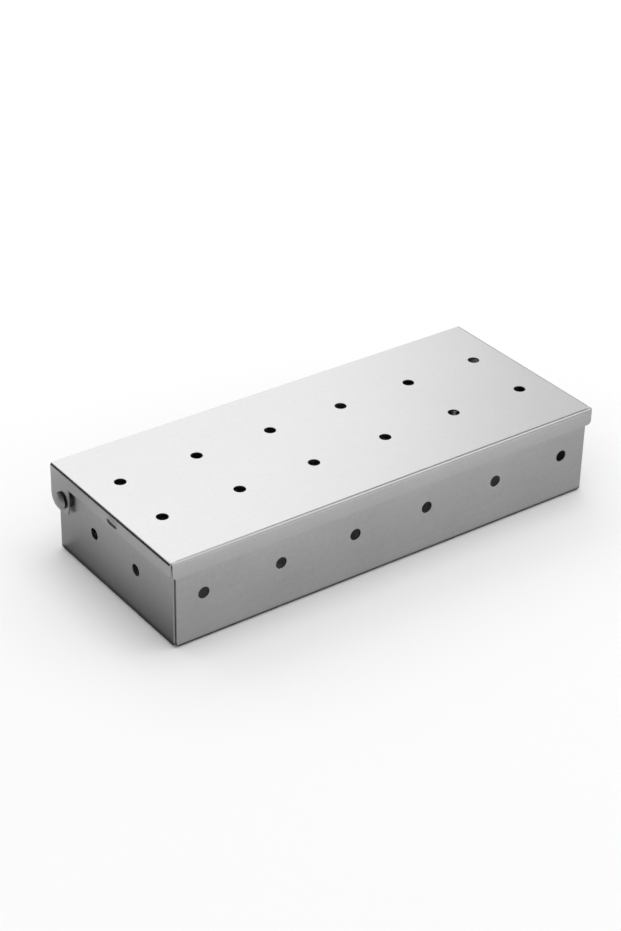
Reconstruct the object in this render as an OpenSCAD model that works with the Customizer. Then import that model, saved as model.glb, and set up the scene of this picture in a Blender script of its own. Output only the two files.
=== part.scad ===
// Grill smoker box: a shallow tray folded from one stainless sheet, and a folded lid that
// swings on two domed rivets. The lid's ears turn on the rivets' shanks, outside the tray's
// end walls, and a washer on each shank keeps the ear off the wall.
//
// Frame: +X to the right along the length, +Y to the rear, +Z up. The origin is on the
// ground, in the middle below the whole box with its lid shut.

/* [Sheet] */
// Thickness of the sheet that both folded parts are cut from
sheet_t = 0.8; // [0.5:0.1:1.2]
// Inner radius of every bend
bend_inner_r = 0.8; // [0.4:0.1:1.4]
// Gap left open where two folded walls meet at a corner
corner_gap = 0.2; // [0.1:0.05:0.6]

/* [Tray] */
// Length of the tray, outside
tray_length = 224; // [200:1:280]
// Width of the tray from front to rear, outside
tray_width = 93; // [80:1:130]
// Height of the tray's front and end walls
tray_height = 42.5; // [36:0.5:60]
// Radius of the walls' lower corners
wall_foot_r = 2.2; // [1.8:0.1:4]
// Radius of the relief hole at each corner of the tray's floor
tray_relief_r = 1.5; // [1:0.1:2.5]
// Air between the rear wall's rim and the plate that swings over it
rear_rim_gap = 0.2; // [0.1:0.05:1]

/* [Lid] */
// Air between the tray's rim and the shut lid
rest_gap = 0.2; // [0.1:0.05:0.5]
// Gap between the tray's front wall and the lid's front flange
front_gap = 0.4; // [0.3:0.05:2]
// Gap between each end wall and the lid's end flange
end_gap = 1.4; // [0.6:0.05:2]
// How far the lid's plate reaches past the tray's rear wall
rear_overhang = 2.3; // [0.5:0.1:4]
// Height of the lid's front flange
front_flange_h = 8.2; // [5:0.1:14]
// Height of the lid's end flanges
end_flange_h = 7; // [6:0.1:10]
// Radius of the front flange's lower corners
front_flange_r = 2; // [1:0.1:4]
// Radius of the end flanges' lower front corners
end_flange_r = 1; // [0.5:0.1:3]

/* [Hinge ears] */
// Width of each ear
ear_width = 14.5; // [13:0.1:20]
// Length of each ear, from the top of the lid down
ear_length = 20.7; // [18:0.1:26]
// Radius of the ear's lower front corner
ear_front_r = 3; // [1:0.1:6]
// Radius of the ear's lower rear corner
ear_rear_r = 6; // [3:0.1:6.5]
// Distance from the lid's rear edge forward to the rivets
pivot_from_rear = 9.1; // [6.5:0.1:10.5]
// Distance from the lid's top down to the rivets
pivot_drop = 14.6; // [12:0.1:18]

/* [Smoke holes] */
// Diameter of the holes in the lid
lid_hole_d = 5.4; // [3:0.1:8]
// Diameter of the holes in the walls
wall_hole_d = 5.5; // [3:0.1:8]
// Distance from each end of the tray to the nearest column of holes
hole_margin = 14.5; // [8:0.5:40]
// Number of holes along the length
hole_columns = 6; // [2:1:12]
// Distance between the lid's two rows
lid_row_pitch = 33.4; // [20:0.2:50]
// Distance from the lid's front face to its front row
lid_row_margin = 32.4; // [15:0.2:40]
// Distance between the two holes in each end wall
end_hole_pitch = 33.4; // [20:0.2:50]
// Height of the wall holes above the ground
wall_hole_z = 22.9; // [12:0.1:28]

/* [Dimple] */
// Length of the dimple pressed inwards in each end flange
dimple_length = 8.6; // [5:0.1:16]
// Width of the dimple
dimple_width = 3.7; // [2.6:0.1:4]
// Depth of the dimple, which leaves air between its back and the tray's end wall
dimple_depth = 0.5; // [0.3:0.05:0.5]
// Distance from the lid's top down to the middle of the dimple
dimple_drop = 4; // [3.8:0.1:4.8]
// Distance from the lid's rear edge forward to the middle of the dimple
dimple_from_rear = 51; // [30:0.5:70]

/* [Rivets] */
// Diameter of the rivet's shank
rivet_d = 4; // [3:0.1:5]
// Diameter of the rivet's head
rivet_head_d = 7.8; // [6.5:0.1:9]
// Height of the rivet's domed head
rivet_head_h = 1.7; // [1.3:0.05:2.2]
// Height of the head's straight rim, below the dome
rivet_rim_h = 0.8; // [0.3:0.05:1]
// Diameter of the head that is formed behind the wall when the rivet is set
set_head_d = 6; // [5.4:0.1:7]
// Height of the formed head
set_head_h = 1.3; // [0.9:0.1:2]
// Height of the formed head's straight rim
set_rim_h = 0.5; // [0.2:0.05:0.6]
// Outer diameter of the washer between ear and wall
spacer_d = 8; // [6:0.1:10]
// Running clearance around the shank, measured on the radius
pivot_clearance = 0.05; // [0.02:0.01:0.1]
// Free play of the ear along the shank, on each of its faces
axial_play = 0.1; // [0.05:0.01:0.2]

/* [Hidden] */

// Overrun of every cut past the face that it goes through, and the fineness of round parts
cut = 1;
$fn = 64;

// Folding: outer bend radius, and how far a wall's ends stay inside its neighbour's outer face
bend_r = bend_inner_r + sheet_t;
corner_inset = sheet_t + corner_gap;

// Lid sizes that follow the tray
lid_length = tray_length + 2 * (end_gap + sheet_t);
lid_depth = sheet_t + front_gap + tray_width + rear_overhang;
lid_top = tray_height + rest_gap + sheet_t;

// Places along Y: the shut lid is centred on the origin
lid_front = -lid_depth / 2;
lid_rear = lid_depth / 2;
tray_front = lid_front + sheet_t + front_gap;
tray_rear = tray_front + tray_width;
tray_mid = (tray_front + tray_rear) / 2;
ear_front = lid_rear - ear_width;

// The pivot, and the circle round it that the tray's rim keeps inside of
pivot_y = lid_rear - pivot_from_rear;
pivot_z = lid_top - pivot_drop;
swing_r = tray_height - pivot_z;
rear_reach = tray_rear - pivot_y;
rear_wall_top = pivot_z + sqrt(max(0, pow(swing_r, 2) - pow(rear_reach, 2))) - rear_rim_gap;

// The dimple's hollow is part of a circle through its two edges and its deepest line
dimple_r = (pow(dimple_width / 2, 2) + pow(dimple_depth, 2)) / (2 * dimple_depth);
dimple_y = lid_rear - dimple_from_rear;

// Distances outwards from the tray's end wall, and the washer's thickness
ear_outside = end_gap + sheet_t;
head_seat = ear_outside + axial_play;
spacer_t = end_gap - axial_play;

sheet_colour = [0.74, 0.74, 0.75];
lid_colour = [0.80, 0.80, 0.81];
rivet_colour = [0.66, 0.66, 0.67];
washer_colour = [0.58, 0.58, 0.60];

// Section of a folded edge: a wall of the given height that stands at x = 0 and turns with
// the bend radius into a stub of the floor, which ends one bend radius further in
module fold_section(height) {
    translate([0, bend_r]) square([sheet_t, height - bend_r]);
    intersection() {
        square(bend_r);
        translate([bend_r, bend_r]) difference() {
            circle(bend_r);
            circle(bend_inner_r);
        }
    }
    translate([bend_r, 0]) square([bend_r, sheet_t]);
}

// A folded edge that runs along X, with its outer face on y = 0 and its wall going up
module fold_along_x(height, length) {
    translate([-length / 2, 0, 0]) rotate([90, 0, 90]) linear_extrude(length) fold_section(height);
}

// A folded edge that runs along Y, with its outer face on x = 0 and its wall going up
module fold_along_y(height, length) {
    translate([0, length / 2, 0]) rotate([90, 0, 0]) linear_extrude(length) fold_section(height);
}

// The waste outside a convex corner of radius r: its material lies towards +x and +y
module corner_waste(r) {
    difference() {
        translate([-cut, -cut]) square(r + cut);
        translate([r, r]) circle(r);
    }
}

// The outline of a wall, from the ground up, with both lower corners rounded
module wall_outline(width, height, foot_r) {
    difference() {
        translate([-width / 2, 0]) square([width, height]);
        for (side = [-1, 1]) scale([side, 1]) translate([-width / 2, 0]) corner_waste(foot_r);
    }
}

// A prism through the front and rear walls, from an outline drawn in X and Z
module through_y(reach) {
    translate([0, reach / 2, 0]) rotate([90, 0, 0]) linear_extrude(reach) children();
}

// A prism through the end walls, from an outline drawn in Y and Z
module through_x(reach) {
    translate([-reach / 2, 0, 0]) rotate([90, 0, 90]) linear_extrude(reach) children();
}

// Places along the length for the smoke holes
function hole_x(column) = (column / (hole_columns - 1) - 1 / 2) * (tray_length - 2 * hole_margin);

// The front or rear wall: outer face on y = 0, material towards +Y
module long_wall(height) {
    width = tray_length - 2 * corner_inset;
    intersection() {
        fold_along_x(height, width);
        translate([0, bend_r, 0])
            through_y(2 * bend_r + 2 * cut) wall_outline(width, height + cut, wall_foot_r);
    }
}

// An end wall: outer face on x = 0, material towards +X. Its rear top corner is cut back to
// the circle that the lid's plate swings round
module end_wall() {
    width = tray_width - 2 * corner_inset;
    intersection() {
        fold_along_y(tray_height, width);
        translate([bend_r, 0, 0]) through_x(2 * bend_r + 2 * cut) difference() {
            wall_outline(width, tray_height + cut, wall_foot_r);
            translate([pivot_y - tray_mid, pivot_z]) difference() {
                square(swing_r + cut);
                circle(swing_r);
            }
        }
    }
}

module tray_floor() {
    translate([-tray_length / 2 + bend_r, tray_front + bend_r, 0])
        cube([tray_length - 2 * bend_r, tray_width - 2 * bend_r, sheet_t]);
}

// Round relief holes at the floor's corners, up to where the bends end
module tray_reliefs() {
    for (x = [-1, 1], y = [-1, 1])
        translate([x * (tray_length / 2 - bend_r), tray_mid + y * (tray_width / 2 - bend_r), -cut])
            cylinder(r = tray_relief_r, h = bend_r + cut);
}

module tray_holes() {
    translate([0, tray_mid, wall_hole_z]) {
        rotate([90, 0, 0]) for (column = [0 : hole_columns - 1])
            translate([hole_x(column), 0, 0])
                cylinder(d = wall_hole_d, h = tray_width + 2 * cut, center = true);
        rotate([0, 90, 0]) for (side = [-1, 1])
            translate([0, side * end_hole_pitch / 2, 0])
                cylinder(d = wall_hole_d, h = tray_length + 2 * cut, center = true);
    }
    translate([0, pivot_y, pivot_z]) rotate([0, 90, 0])
        cylinder(d = rivet_d, h = tray_length + 2 * cut, center = true);
}

module tray() color(sheet_colour) difference() {
    union() {
        tray_floor();
        translate([0, tray_front, 0]) long_wall(tray_height);
        translate([0, tray_rear, 0]) mirror([0, 1, 0]) long_wall(rear_wall_top);
        translate([-tray_length / 2, tray_mid, 0]) end_wall();
        translate([tray_length / 2, tray_mid, 0]) mirror([1, 0, 0]) end_wall();
    }
    tray_reliefs();
    tray_holes();
}

module lid_plate() {
    translate([-lid_length / 2 + bend_r, lid_front + bend_r, lid_top - sheet_t])
        cube([lid_length - 2 * bend_r, lid_depth - bend_r, sheet_t]);
}

// The front flange, hanging down from z = 0 with its outer face on y = 0
module front_flange() {
    width = lid_length - 2 * corner_inset;
    intersection() {
        mirror([0, 0, 1]) fold_along_x(front_flange_h, width);
        translate([0, bend_r, -front_flange_h])
            through_y(2 * bend_r + 2 * cut) wall_outline(width, front_flange_h, front_flange_r);
    }
}

// The outline of an end flange and its ear in Y and Z, with z = 0 at the lid's top
module end_flange_outline() {
    flange_front = lid_front + corner_inset;
    difference() {
        union() {
            translate([flange_front, -end_flange_h]) square([lid_rear - flange_front, end_flange_h]);
            translate([ear_front, -ear_length]) square([ear_width, ear_length]);
        }
        translate([flange_front, -end_flange_h]) corner_waste(end_flange_r);
        translate([ear_front, -ear_length]) corner_waste(ear_front_r);
        translate([lid_rear, -ear_length]) scale([-1, 1]) corner_waste(ear_rear_r);
    }
}

// A bar along Y with round ends, which presses the dimple: its axis is outside the flange
module dimple_bar(r) {
    run = (dimple_length - dimple_width) / 2;
    translate([dimple_depth - dimple_r, dimple_y, -dimple_drop]) {
        rotate([90, 0, 0]) cylinder(r = r, h = 2 * run, center = true);
        for (side = [-1, 1]) translate([0, side * run, 0]) sphere(r);
    }
}

// The left end flange with its ear and dimple: outer face on x = 0, material towards +X
module end_flange() {
    difference() {
        union() {
            intersection() {
                mirror([0, 0, 1]) fold_along_y(ear_length, lid_depth);
                translate([bend_r, 0, 0]) through_x(2 * bend_r + 2 * cut) end_flange_outline();
            }
            intersection() {
                dimple_bar(dimple_r + sheet_t);
                translate([sheet_t / 2, dimple_y - dimple_length, -end_flange_h])
                    cube([dimple_depth + sheet_t, 2 * dimple_length, end_flange_h - sheet_t]);
            }
        }
        dimple_bar(dimple_r);
        translate([-cut, pivot_y, -pivot_drop]) rotate([0, 90, 0])
            cylinder(r = rivet_d / 2 + pivot_clearance, h = sheet_t + 2 * cut);
    }
}

module lid_holes() {
    for (column = [0 : hole_columns - 1], row = [0, 1])
        translate([hole_x(column), lid_front + lid_row_margin + row * lid_row_pitch, lid_top - sheet_t - cut])
            cylinder(d = lid_hole_d, h = sheet_t + 2 * cut);
}

module lid() color(lid_colour) difference() {
    union() {
        lid_plate();
        translate([0, lid_front, lid_top]) front_flange();
        translate([-lid_length / 2, 0, lid_top]) end_flange();
        translate([lid_length / 2, 0, lid_top]) mirror([1, 0, 0]) end_flange();
    }
    lid_holes();
}

// Sets a part that is drawn outwards from the end wall, along +Z, onto the left pivot
module at_left_pivot() {
    translate([-tray_length / 2, pivot_y, pivot_z]) rotate([0, -90, 0]) children();
}

module at_right_pivot() mirror([1, 0, 0]) at_left_pivot() children();

// A head that lies flat on z = 0, with a straight rim and a dome that rises to height h
module domed_head(d, h, rim_h) {
    dome_rise = h - rim_h;
    dome_r = (pow(d / 2, 2) + pow(dome_rise, 2)) / (2 * dome_rise);
    intersection() {
        cylinder(d = d, h = h);
        translate([0, 0, h - dome_r]) sphere(dome_r);
    }
}

// The rivet: a domed head outside the ear, a shank through ear, washer and wall, and the
// smaller head that was formed behind the wall
module rivet() {
    translate([0, 0, head_seat]) domed_head(rivet_head_d, rivet_head_h, rivet_rim_h);
    translate([0, 0, -sheet_t - set_rim_h])
        cylinder(d = rivet_d, h = set_rim_h + sheet_t + head_seat + rivet_rim_h);
    translate([0, 0, -sheet_t]) mirror([0, 0, 1]) domed_head(set_head_d, set_head_h, set_rim_h);
}

module spacer_washer() difference() {
    cylinder(d = spacer_d, h = spacer_t);
    translate([0, 0, -cut]) cylinder(r = rivet_d / 2 + pivot_clearance, h = spacer_t + 2 * cut);
}

module left_rivet() color(rivet_colour) at_left_pivot() rivet();
module right_rivet() color(rivet_colour) at_right_pivot() rivet();
module left_spacer_washer() color(washer_colour) at_left_pivot() spacer_washer();
module right_spacer_washer() color(washer_colour) at_right_pivot() spacer_washer();

tray();
lid();
left_rivet();
right_rivet();
left_spacer_washer();
right_spacer_washer();
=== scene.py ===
"""Grill smoker box: finishes for the folded stainless sheets and their rivets, and a plain studio.

Everything is in metres in the part's own frame: +X along the length, +Y to the rear, +Z up,
with the ground at Z = 0. Real sizes are written in millimetres and turned by MM.
"""

import logging
import math
from abc import ABC, abstractmethod
from dataclasses import dataclass
from enum import Enum

import bmesh
import bpy
import numpy as np
from mathutils import Matrix, Vector


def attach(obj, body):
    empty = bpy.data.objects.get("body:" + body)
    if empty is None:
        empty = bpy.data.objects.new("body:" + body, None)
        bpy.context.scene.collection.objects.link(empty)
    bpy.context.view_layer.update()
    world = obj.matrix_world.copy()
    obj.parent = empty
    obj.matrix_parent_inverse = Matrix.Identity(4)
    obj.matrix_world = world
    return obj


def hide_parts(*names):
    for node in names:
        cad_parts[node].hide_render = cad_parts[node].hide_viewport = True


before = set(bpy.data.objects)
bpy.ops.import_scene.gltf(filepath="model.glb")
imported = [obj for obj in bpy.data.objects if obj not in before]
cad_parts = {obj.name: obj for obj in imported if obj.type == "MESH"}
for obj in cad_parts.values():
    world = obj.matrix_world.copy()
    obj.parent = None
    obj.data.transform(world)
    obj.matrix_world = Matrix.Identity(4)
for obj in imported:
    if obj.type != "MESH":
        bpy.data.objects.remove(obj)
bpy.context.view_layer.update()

MM = 0.001
WHITE = "#FFFFFF"
LOG = logging.getLogger("smoker_box")

# Nearly all values of a noise lie between these two
NOISE_LOW, NOISE_HIGH = 0.3, 0.7


class Body(Enum):
    """The two bodies of the box, by their names in the frame."""

    TRAY = "tray"
    LID = "lid"


class Slot(Enum):
    """The record's material slots of the two sheets."""

    TRAY_SHEET = "tray_sheet"
    LID_SHEET = "lid_sheet"


class End(Enum):
    """The box's two ends, by the names of their small parts."""

    LEFT = "left"
    RIGHT = "right"


def linear(hex_colour: str) -> tuple[float, float, float, float]:
    """Turns an sRGB hex colour into the linear values that a shader takes.

    Args:
        hex_colour: the colour as #RRGGBB.

    Returns:
        Red, green, blue and an alpha of 1.
    """
    shares = [int(hex_colour[i:i + 2], 16) / 255 for i in (1, 3, 5)]
    red, green, blue = (
        share / 12.92 if share <= 0.04045 else ((share + 0.055) / 1.055) ** 2.4
        for share in shares)
    return red, green, blue, 1.0


def add_node(tree: bpy.types.NodeTree, kind: str, settings: dict | None = None,
             inputs: dict | None = None) -> bpy.types.Node:
    """Adds one node to a tree, sets it up and links it.

    A Mix node's two values are inputs 2 and 3 if they are plain numbers, 4 and 5 if they are
    vectors, and 6 and 7 if they are colours. Its result is then output 0, 1 or 2.

    Args:
        tree: the node tree of a material or of the world.
        kind: the node's type.
        settings: the node's own properties, by name.
        inputs: for an input socket, by name or number, its value or the output that feeds it.

    Returns:
        The new node.
    """
    node = tree.nodes.new(kind)
    for name, value in (settings or {}).items():
        setattr(node, name, value)
    for key, value in (inputs or {}).items():
        if isinstance(value, bpy.types.NodeSocket):
            tree.links.new(value, node.inputs[key])
        else:
            node.inputs[key].default_value = value
    return node


def new_material(name: str) -> tuple[bpy.types.Material, bpy.types.NodeTree]:
    """Makes an empty node material.

    Args:
        name: the material's name.

    Returns:
        The material and its node tree, without nodes.
    """
    material = bpy.data.materials.new(name)
    material.use_nodes = True
    material.node_tree.nodes.clear()
    return material, material.node_tree


def add_grid(name: str, points: np.ndarray, material: bpy.types.Material) -> bpy.types.Object:
    """Makes a grid of four-sided faces, gives it a material and links it to the scene.

    Args:
        name: the object's name.
        points: the grid's points, with two indices and then X, Y and Z.
        material: what the grid is made of.

    Returns:
        The new object, at the origin.
    """
    rows, columns = points.shape[:2]
    index = np.arange(rows * columns).reshape(rows, columns)
    corners = (index[:-1, :-1], index[1:, :-1], index[1:, 1:], index[:-1, 1:])
    faces = np.stack(corners, axis=-1).reshape(-1, 4)
    mesh = bpy.data.meshes.new(name)
    mesh.from_pydata(points.reshape(-1, 3).tolist(), [], faces.tolist())
    mesh.materials.append(material)
    grid = bpy.data.objects.new(name, mesh)
    bpy.context.scene.collection.objects.link(grid)
    return grid


@dataclass(frozen=True, kw_only=True)
class MetalFinish:
    """Steel with two tints, a sheen and a relief that follow a fine pattern.

    The tints are sRGB. The roughness runs roughness_spread to either side of its mean. The
    pattern is a noise of some octaves, each of them octave_gain times as strong as the last.
    """

    name: str
    light: str
    dark: str
    roughness: float
    roughness_spread: float
    relief_mm: float
    octaves: float
    octave_gain: float = 0.6

    def facing_x(self, tree: bpy.types.NodeTree, place: bpy.types.Node) -> bpy.types.NodeSocket:
        """Adds nodes that tell how far a face looks along X, to either side.

        Args:
            tree: the material's node tree.
            place: its texture coordinates.

        Returns:
            The output with the size of the X in the face's normal, from 0 to 1.
        """
        side = add_node(tree, "ShaderNodeSeparateXYZ", inputs={"Vector": place.outputs["Normal"]})
        return add_node(tree, "ShaderNodeMath", {"operation": "ABSOLUTE"}, {
            0: side.outputs["X"]}).outputs[0]

    def tint(self, tree: bpy.types.NodeTree, share: bpy.types.NodeSocket) -> bpy.types.NodeSocket:
        """Mixes the two tints by the share of the light one, which runs from 0 to 1."""
        return add_node(tree, "ShaderNodeMix", {"data_type": "RGBA"}, {
            "Factor": share, 6: linear(self.dark), 7: linear(self.light)}).outputs[2]

    def add_steel(self, tree: bpy.types.NodeTree, tint: bpy.types.NodeSocket,
                  sheen: bpy.types.NodeSocket, height: bpy.types.NodeSocket) -> None:
        """Adds the steel itself and ends the material with it.

        Args:
            tree: the material's node tree.
            tint: the output with its colour.
            sheen: the noise that its roughness follows.
            height: the noise that its relief follows.
        """
        rough = add_node(tree, "ShaderNodeMapRange", inputs={
            "Value": sheen, "From Min": NOISE_LOW, "From Max": NOISE_HIGH,
            "To Min": self.roughness - self.roughness_spread,
            "To Max": self.roughness + self.roughness_spread})
        relief = add_node(tree, "ShaderNodeBump", inputs={
            "Height": height, "Distance": self.relief_mm * MM})
        steel = add_node(tree, "ShaderNodeBsdfPrincipled", inputs={
            "Base Color": tint, "Metallic": 1.0, "Roughness": rough.outputs[0],
            "Normal": relief.outputs[0]})
        add_node(tree, "ShaderNodeOutputMaterial", inputs={"Surface": steel.outputs[0]})


@dataclass(frozen=True, kw_only=True)
class SheetFinish(MetalFinish):
    """Cold-rolled stainless sheet with a fine satin finish, left by abrasive belts.

    The belts leave short shallow scratches along the rolling direction. To the eye they give a
    soft, slightly mottled sheen that is drawn out across them, and no mirror image. The real
    scratches are too fine to show in the render, so they are drawn as wide as they need to be.
    """

    roughness: float = 0.30
    roughness_spread: float = 0.03
    relief_mm: float = 0.001
    octaves: float = 3.0
    scratch_width_mm: float = 0.6
    scratch_length_mm: float = 9.0
    mottle_mm: float = 1.6
    mottle_share: float = 0.5
    cloud_mm: float = 42.0
    cloud_share: float = 0.35
    end_wall_facing: float = 0.7

    def along_rolling(self, tree: bpy.types.NodeTree,
                      place: bpy.types.Node) -> bpy.types.NodeSocket:
        """Adds coordinates in which a noise is drawn out along the rolling direction.

        That is X on the flat plate, and it turns down with the end walls, where it is Z. A face
        is on an end wall where it looks along X by more than end_wall_facing.

        Args:
            tree: the material's node tree.
            place: its texture coordinates.

        Returns:
            The output with the coordinates, in the widths and lengths of a scratch.
        """
        on_end = add_node(tree, "ShaderNodeMath", {"operation": "GREATER_THAN"}, {
            0: self.facing_x(tree, place), 1: self.end_wall_facing})
        across, along = 1 / (self.scratch_width_mm * MM), 1 / (self.scratch_length_mm * MM)
        flat = add_node(tree, "ShaderNodeMapping", inputs={
            "Vector": place.outputs["Object"], "Scale": (along, across, across)})
        upright = add_node(tree, "ShaderNodeMapping", inputs={
            "Vector": place.outputs["Object"], "Scale": (across, across, along)})
        return add_node(tree, "ShaderNodeMix", {"data_type": "VECTOR"}, {
            "Factor": on_end.outputs[0], 4: flat.outputs[0], 5: upright.outputs[0]}).outputs[1]

    def material(self) -> bpy.types.Material:
        """Builds the sheet's material.

        The scratches make its grain, together with a mottle. Broad clouds change the sheen a
        little from place to place.

        Returns:
            The material.
        """
        material, tree = new_material(self.name)
        place = add_node(tree, "ShaderNodeTexCoord")
        scratches = add_node(tree, "ShaderNodeTexNoise", inputs={
            "Vector": self.along_rolling(tree, place), "Scale": 1.0,
            "Detail": self.octaves, "Roughness": self.octave_gain})
        mottle = add_node(tree, "ShaderNodeTexNoise", inputs={
            "Vector": place.outputs["Object"], "Scale": 1 / (self.mottle_mm * MM),
            "Roughness": self.octave_gain})
        clouds = add_node(tree, "ShaderNodeTexNoise", inputs={
            "Vector": place.outputs["Object"], "Scale": 1 / (self.cloud_mm * MM)})
        grain = add_node(tree, "ShaderNodeMix", {"data_type": "FLOAT"}, {
            "Factor": self.mottle_share, 2: scratches.outputs["Fac"], 3: mottle.outputs["Fac"]})
        sheen = add_node(tree, "ShaderNodeMix", {"data_type": "FLOAT"}, {
            "Factor": self.cloud_share, 2: grain.outputs[0], 3: clouds.outputs["Fac"]}).outputs[0]
        self.add_steel(tree, self.tint(tree, sheen), sheen, scratches.outputs["Fac"])
        return material


# Satin sheet looks soft grey with a fine grain. The lid's is more even; its brighter tints are
# painted light
TRAY_FINISH = SheetFinish(name="satin_stainless_tray_sheet", light="#D4D4D4", dark="#A5A5A5")
LID_FINISH = SheetFinish(name="satin_stainless_lid_sheet", light="#D1D1D1", dark="#B5B5B5")


@dataclass(frozen=True, kw_only=True)
class SmallPartFinish(MetalFinish):
    """Cold-headed or stamped steel of a small part: smooth, with fine tool marks and handling.

    Its crown, the faces that look along the part's own axis X, keeps the plain tints. The rim
    round it is painted darker, painted shade for the shaded side of the head.
    """

    octaves: float = 4.0
    # Colour of the painted shade on the rim, sRGB
    painted_rim_shade: str
    mark_mm: float
    rim_facing: float = 0.45
    crown_facing: float = 0.85

    def material(self) -> bpy.types.Material:
        """Builds the part's material, one fine noise that varies its colour, sheen and relief.

        The painted shade fades out where the surface turns from the rim towards the crown.

        Returns:
            The material.
        """
        material, tree = new_material(self.name)
        place = add_node(tree, "ShaderNodeTexCoord")
        marks = add_node(tree, "ShaderNodeTexNoise", inputs={
            "Vector": place.outputs["Object"], "Scale": 1 / (self.mark_mm * MM),
            "Detail": self.octaves, "Roughness": self.octave_gain}).outputs["Fac"]
        crown = add_node(tree, "ShaderNodeMapRange", inputs={
            "Value": self.facing_x(tree, place),
            "From Min": self.rim_facing, "From Max": self.crown_facing})
        # Painted shade: the rim colour darkens the sides and fades out towards the crown
        tint = add_node(tree, "ShaderNodeMix", {"data_type": "RGBA"}, {
            "Factor": crown.outputs[0], 6: linear(self.painted_rim_shade), 7: self.tint(tree, marks)})
        self.add_steel(tree, tint.outputs[2], marks, marks)
        return material


# A cold-headed rivet is smooth, with a soft clean highlight on its crown and painted shade
# darkening its rim
RIVET_FINISH = SmallPartFinish(
    name="cold_headed_rivet_steel", light="#BEBEBE", dark="#A6A6A6", painted_rim_shade="#2E2E2E",
    roughness=0.40, roughness_spread=0.05, mark_mm=0.9, relief_mm=0.003)
# A stamped and tumbled washer has a dull even sheen, with painted shade darkening it a little
# round its edge
WASHER_FINISH = SmallPartFinish(
    name="tumbled_washer_steel", light="#B4B4B4", dark="#9C9C9C", painted_rim_shade="#6A6A6A",
    roughness=0.38, roughness_spread=0.06, mark_mm=0.6, relief_mm=0.008)


@dataclass
class FoldedSheet:
    """One folded sheet, the tray or the lid, with the burr taken off its cut edges.

    The frame's mesh is copied, its loose triangles are joined and flat ones become one face. A
    small round then runs along the cut edges, which catches the light as a fine line. The small
    edges where two folds meet at a corner stay crisp, as does the outline of a pressed dimple.
    """

    node: str
    body: Body
    slot: Slot
    finish: SheetFinish
    merge_mm: float = 0.0002
    flat_deg: float = 0.05
    crease_deg: float = 24.0
    cut_edge_deg: float = 50.0
    edge_round_mm: float = 0.10
    round_steps: int = 2
    corner_mm: float = 4.5

    def build(self) -> None:
        """Makes the deburred copy and puts it in the node's place."""
        piece = self.copy_merged()
        edge = piece.modifiers.new("deburred_edges", "BEVEL")
        edge.width, edge.segments = self.edge_round_mm * MM, self.round_steps
        edge.limit_method = "WEIGHT"
        edge.use_clamp_overlap = False
        edge.miter_outer = "MITER_ARC"
        shade = piece.modifiers.new("flat_faces_stay_flat", "WEIGHTED_NORMAL")
        shade.keep_sharp = True
        piece.data.materials.append(self.finish.material())
        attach(piece, self.body.value)
        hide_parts(self.node)
        LOG.info("%s: %d faces in %s", piece.name, len(piece.data.polygons), self.finish.name)

    def copy_merged(self) -> bpy.types.Object:
        """Copies the node's mesh, with its points merged and its flat areas joined.

        Points that round to the same step of merge_mm become one point.

        Returns:
            The new object, at the origin.
        """
        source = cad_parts[self.node].data
        points = np.empty(3 * len(source.vertices))
        source.vertices.foreach_get("co", points)
        points = points.reshape(-1, 3)
        steps = np.round(points / (self.merge_mm * MM)).astype(np.int64)
        _, first, target = np.unique(steps, axis=0, return_index=True, return_inverse=True)
        corners = np.empty(len(source.loops), dtype=np.int32)
        source.loops.foreach_get("vertex_index", corners)
        triangles = target.reshape(-1)[corners].reshape(-1, 3)
        mesh = bpy.data.meshes.new(f"{self.node}_folded_sheet")
        mesh.from_pydata(points[first].tolist(), [], triangles.tolist())
        work = bmesh.new()
        work.from_mesh(mesh)
        bmesh.ops.dissolve_limit(
            work, angle_limit=math.radians(self.flat_deg), verts=work.verts, edges=work.edges)
        self.mark_edges(work, points)
        work.to_mesh(mesh)
        work.free()
        mesh.polygons.foreach_set("use_smooth", np.ones(len(mesh.polygons), dtype=bool))
        piece = bpy.data.objects.new(mesh.name, mesh)
        bpy.context.scene.collection.objects.link(piece)
        return piece

    def mark_edges(self, work: bmesh.types.BMesh, points: np.ndarray) -> None:
        """Marks the cut edges that get a round, and keeps other creases crisp.

        A cut edge turns by cut_edge_deg or more, and an edge that turns by less than crease_deg
        belongs to a bend or a flat face. An edge lies in a corner if both its ends are within
        corner_mm of the sheet's box, along X and along Y.

        Args:
            work: the mesh, whose edges are marked.
            points: all points of the sheet, which give its box.
        """
        low, high = points.min(axis=0)[:2], points.max(axis=0)[:2]
        rounded = work.edges.layers.float.new("bevel_weight_edge")
        for edge in work.edges:
            fold = math.degrees(edge.calc_face_angle(0.0))
            ends = np.array([vert.co[:2] for vert in edge.verts])
            in_corner = bool((np.minimum(ends - low, high - ends) < self.corner_mm * MM).all())
            edge[rounded] = float(fold >= self.cut_edge_deg and not in_corner)
            edge.smooth = fold < self.crease_deg or edge[rounded] > 0


@dataclass
class HingeRivets:
    """The two rivets of the hinge and the washers under the ears."""

    rivet: SmallPartFinish
    washer: SmallPartFinish

    def build(self) -> None:
        """Dresses the small parts at both ends."""
        rivet, washer = self.rivet.material(), self.washer.material()
        for end in End:
            self.dress(f"{end.value}_rivet", rivet)
            self.dress(f"{end.value}_spacer_washer", washer)

    def dress(self, node: str, material: bpy.types.Material) -> None:
        """Puts a material on a node of the frame.

        Args:
            node: the node's name.
            material: what goes into each of its material slots.
        """
        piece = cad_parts[node]
        for slot in piece.material_slots:
            slot.material = material
        LOG.info("%s: %d faces in %s", node, len(piece.data.polygons), material.name)


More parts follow.
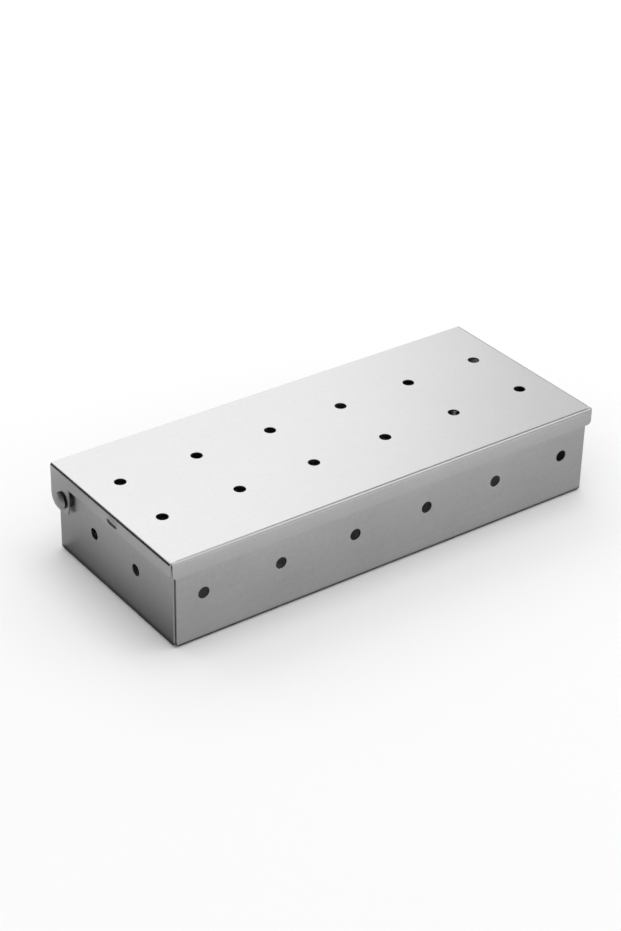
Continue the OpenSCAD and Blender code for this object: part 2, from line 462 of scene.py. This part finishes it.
@dataclass
class PhotoCamera:
    """The photograph's camera, a pinhole fitted to the smoke holes.

    It stands at place_mm, looks at aim_mm and is rolled a little. The focal length is in the
    pixels of a frame of frame_px.
    """

    place_mm: tuple[float, float, float] = (-509.8, -677.9, 542.0)
    aim_mm: tuple[float, float, float] = (-1.04, 11.71, 21.75)
    roll_deg: float = 1.232
    focal_px: float = 2215.8
    frame_px: tuple[int, int] = (621, 931)
    sensor_mm: float = 36.0
    clip_m: tuple[float, float] = (0.01, 100.0)

    def build(self) -> None:
        """Makes the camera and gives it to the scene."""
        data = bpy.data.cameras.new("photo_camera")
        data.sensor_width = self.sensor_mm
        data.lens = self.sensor_mm * self.focal_px / max(self.frame_px)
        data.clip_start, data.clip_end = self.clip_m
        camera = bpy.data.objects.new("photo_camera", data)
        place, aim = Vector(self.place_mm) * MM, Vector(self.aim_mm) * MM
        turn = (aim - place).to_track_quat("-Z", "Y").to_matrix().to_4x4()
        roll = Matrix.Rotation(math.radians(self.roll_deg), 4, "Z")
        camera.matrix_world = Matrix.Translation(place) @ turn @ roll
        bpy.context.scene.collection.objects.link(camera)
        bpy.context.scene.camera = camera
        LOG.info("camera: lens %.2f mm", data.lens)


@dataclass(frozen=True)
class Softbox:
    """A rectangular soft light that faces the box.

    Its direction is an azimuth from the rear (+Y) towards +X, and an elevation, in degrees. Its
    radiance is in units of plain white. One that isn't glossy lights the floor but leaves no
    streak on the metal.
    """

    name: str
    azimuth_deg: float
    elevation_deg: float
    distance_m: float
    size_m: tuple[float, float]
    radiance: float
    glossy: bool = True

    def build(self) -> None:
        """Makes the light as an area lamp, whose power is its radiance times pi times its area."""
        a, e = math.radians(self.azimuth_deg), math.radians(self.elevation_deg)
        out = Vector((math.sin(a) * math.cos(e), math.cos(a) * math.cos(e), math.sin(e)))
        data = bpy.data.lights.new(self.name, "AREA")
        data.shape = "RECTANGLE"
        data.size, data.size_y = self.size_m
        data.energy = self.radiance * math.pi * self.size_m[0] * self.size_m[1]
        lamp = bpy.data.objects.new(self.name, data)
        lamp.location = out * self.distance_m
        lamp.rotation_mode = "QUATERNION"
        lamp.rotation_quaternion = out.to_track_quat("Z", "Y")
        lamp.visible_glossy = self.glossy
        bpy.context.scene.collection.objects.link(lamp)
        LOG.info("%s: %.1f W", self.name, data.energy)


@dataclass(frozen=True)
class Card(ABC):
    """A card that only shows in the metal, where it makes the reflection darker."""

    name: str

    @abstractmethod
    def points(self) -> np.ndarray:
        """Works out the card's shape, as a grid of points."""

    @abstractmethod
    def brightness(self, tree: bpy.types.NodeTree) -> float | bpy.types.NodeSocket:
        """Gives the card's grey, as a share of plain white or as an output with that share."""

    def build(self) -> None:
        """Makes the card, without shadow or diffuse light and unseen by the camera."""
        material, tree = new_material(self.name)
        glow = add_node(tree, "ShaderNodeEmission", inputs={
            "Color": linear(WHITE), "Strength": self.brightness(tree)})
        add_node(tree, "ShaderNodeOutputMaterial", inputs={"Surface": glow.outputs[0]})
        card = add_grid(self.name, self.points(), material)
        card.visible_camera = card.visible_diffuse = card.visible_shadow = False
        LOG.info("%s: %d points", self.name, len(card.data.vertices))


@dataclass(frozen=True)
class Flag(Card):
    """A black or grey card, a piece of a sphere round the box.

    It lies between two azimuths and two elevations, which are counted as a softbox's are.
    """

    azimuths_deg: tuple[float, float]
    elevations_deg: tuple[float, float]
    grey: float = 0.0
    distance_m: float = 1.2
    steps: int = 16

    def points(self) -> np.ndarray:
        """Works out where on the sphere each azimuth and elevation lies.

        Returns:
            The grid of points.
        """
        azimuth, elevation = np.meshgrid(
            np.radians(np.linspace(*self.azimuths_deg, self.steps)),
            np.radians(np.linspace(*self.elevations_deg, self.steps)), indexing="ij")
        return self.distance_m * np.stack([
            np.sin(azimuth) * np.cos(elevation), np.cos(azimuth) * np.cos(elevation),
            np.sin(elevation)], axis=-1)

    def brightness(self, tree: bpy.types.NodeTree) -> float:
        """Gives the one grey of the whole card."""
        return self.grey


@dataclass(frozen=True)
class FloorCard(Card):
    """A graded card that lies along one side of the box, for the walls to reflect.

    It is the four-sided figure between a near line and a far one, each at its reach from the
    box's middle along an azimuth, and twice its half width long. Its grey runs from the near
    line to the far one.
    """

    azimuth_deg: float
    reaches_m: tuple[float, float]
    half_widths_m: tuple[float, float]
    greys: tuple[float, float]
    height_m: float = 0.0002

    def outward(self) -> np.ndarray:
        """Gives the level direction from the box's middle to the card."""
        a = math.radians(self.azimuth_deg)
        return np.array([math.sin(a), math.cos(a), 0])

    def points(self) -> np.ndarray:
        """Works out the four corners.

        Returns:
            The grid of points, two by two.
        """
        out = self.outward()
        side = np.array([out[1], -out[0], 0])
        up = np.array([0, 0, self.height_m])
        return np.array([
            [out * reach + side * half * sign + up for sign in (-1, 1)]
            for reach, half in zip(self.reaches_m, self.half_widths_m)])

    def brightness(self, tree: bpy.types.NodeTree) -> bpy.types.NodeSocket:
        """Adds a ramp of grey along the card.

        Args:
            tree: the card's node tree.

        Returns:
            The output with the grey.
        """
        place = add_node(tree, "ShaderNodeTexCoord")
        along = add_node(tree, "ShaderNodeVectorMath", {"operation": "DOT_PRODUCT"}, {
            0: place.outputs["Object"], 1: tuple(self.outward())})
        return add_node(tree, "ShaderNodeMapRange", inputs={
            "Value": along.outputs["Value"],
            "From Min": self.reaches_m[0], "From Max": self.reaches_m[1],
            "To Min": self.greys[0], "To Max": self.greys[1]}).outputs[0]


@dataclass
class Studio:
    """A plain white floor that fades into a white background, soft lights and dark cards.

    The floor fades between two distances from the box's middle. The background lights the box
    at the ambient level, a share of plain white.
    """

    floor_half_m: float = 4.0
    floor_colour: str = "#F3F3F3"
    fade_start_m: float = 0.16
    fade_end_m: float = 0.60
    ambient: float = 0.78
    lights: tuple[Softbox, ...] = (
        Softbox("rear_softbox", 6.0, 42.0, 1.6, (2.0, 1.0), 0.69),
        Softbox("top_softbox", 90.0, 80.0, 1.6, (1.0, 1.0), 2.2, glossy=False),
        Softbox("front_softbox", 126.0, 44.0, 1.6, (0.6, 0.5), 0.7),
    )
    flags: tuple[Flag, ...] = (
        Flag("left_flag", (-72.0, -24.0), (0.3, 34.0)),
        Flag("rear_flag", (-24.0, 110.0), (0.3, 12.0)),
        Flag("right_flag", (70.0, 110.0), (12.0, 46.0)),
        Flag("overhead_flag", (43.0, 92.0), (42.0, 62.0)),
        Flag("front_flag", (110.0, 180.0), (0.3, 25.0), 0.52),
        Flag("camera_flag", (-180.0, -72.0), (0.3, 60.0), 0.40),
    )
    floor_cards: tuple[FloorCard, ...] = (
        FloorCard("front_foot_card", 180.0, (0.0455, 0.0485), (0.112, 0.113), (0.03, 0.03)),
        FloorCard("front_card", 180.0, (0.0485, 0.108), (0.117, 0.200), (0.49, 0.63)),
        FloorCard("left_foot_card", 270.0, (0.111, 0.114), (0.0465, 0.0475), (0.03, 0.03)),
        FloorCard("left_card", 270.0, (0.114, 0.172), (0.046, 0.100), (0.13, 0.97)),
        FloorCard("right_card", 90.0, (0.112, 0.175), (0.047, 0.115), (0.35, 0.55)),
        FloorCard("rear_card", 0.0, (0.046, 0.108), (0.117, 0.200), (0.35, 0.55)),
        FloorCard("far_left_card", 270.0, (0.172, 1.200), (0.112, 1.200), (0.03, 0.03)),
        FloorCard("far_rear_card", 0.0, (0.125, 1.200), (0.170, 1.200), (0.03, 0.03)),
        FloorCard("far_right_card", 90.0, (0.185, 1.200), (0.125, 1.200), (0.03, 0.03)),
    )

    def build(self) -> None:
        """Makes the world, the floor, the lights and the cards."""
        self.build_world()
        self.build_floor()
        for item in (*self.lights, *self.flags, *self.floor_cards):
            item.build()

    def white_rays(self, tree: bpy.types.NodeTree) -> bpy.types.NodeSocket:
        """Adds nodes that are 1 for the rays that show the background, and 0 for the rest.

        Args:
            tree: the node tree that gets them.

        Returns:
            The output that holds the result.
        """
        path = add_node(tree, "ShaderNodeLightPath")
        seen = add_node(tree, "ShaderNodeMath", {"operation": "MAXIMUM"}, {
            0: path.outputs["Is Camera Ray"], 1: path.outputs["Is Glossy Ray"]})
        return add_node(tree, "ShaderNodeMath", {"operation": "MAXIMUM"}, {
            0: seen.outputs[0], 1: path.outputs["Is Transmission Ray"]}).outputs[0]

    def build_world(self) -> None:
        """Makes a world that is plain white to look at and lights the box at the ambient level."""
        world = bpy.data.worlds.new("studio")
        world.use_nodes = True
        tree = world.node_tree
        tree.nodes.clear()
        level = add_node(tree, "ShaderNodeMix", {"data_type": "FLOAT"}, {
            "Factor": self.white_rays(tree), 2: self.ambient, 3: 1.0})
        sky = add_node(tree, "ShaderNodeBackground", inputs={
            "Color": linear(WHITE), "Strength": level.outputs[0]})
        add_node(tree, "ShaderNodeOutputWorld", inputs={"Surface": sky.outputs[0]})
        bpy.context.scene.world = world

    def floor_material(self) -> bpy.types.Material:
        """Builds matt white paper that keeps the box's shadow and fades to white away from it.

        Returns:
            The material.
        """
        material, tree = new_material("white_paper")
        place = add_node(tree, "ShaderNodeTexCoord")
        reach = add_node(tree, "ShaderNodeVectorMath", {"operation": "LENGTH"}, {
            0: place.outputs["Object"]})
        far = add_node(tree, "ShaderNodeMapRange", {"interpolation_type": "SMOOTHSTEP"}, {
            "Value": reach.outputs["Value"],
            "From Min": self.fade_start_m, "From Max": self.fade_end_m})
        white = add_node(tree, "ShaderNodeMath", {"operation": "MULTIPLY"}, {
            0: far.outputs[0], 1: self.white_rays(tree)})
        paper = add_node(tree, "ShaderNodeBsdfDiffuse", inputs={
            "Color": linear(self.floor_colour)})
        glow = add_node(tree, "ShaderNodeEmission", inputs={"Color": linear(WHITE)})
        both = add_node(tree, "ShaderNodeMixShader", inputs={
            0: white.outputs[0], 1: paper.outputs[0], 2: glow.outputs[0]})
        add_node(tree, "ShaderNodeOutputMaterial", inputs={"Surface": both.outputs[0]})
        return material

    def build_floor(self) -> None:
        """Makes the floor, one flat square at the ground."""
        ends = (-self.floor_half_m, self.floor_half_m)
        corners = np.array([[(x, y, 0) for y in ends] for x in ends])
        add_grid("floor", corners, self.floor_material())
        LOG.info("floor: %.0f m wide", 2 * self.floor_half_m)


def main() -> None:
    """Builds the whole scene."""
    logging.basicConfig(level=logging.INFO, format="%(message)s")
    bpy.context.scene.view_settings.view_transform = "Standard"
    PhotoCamera().build()
    Studio().build()
    FoldedSheet("tray", Body.TRAY, Slot.TRAY_SHEET, TRAY_FINISH).build()
    FoldedSheet("lid", Body.LID, Slot.LID_SHEET, LID_FINISH).build()
    HingeRivets(RIVET_FINISH, WASHER_FINISH).build()


if __name__ == "__main__":
    main()
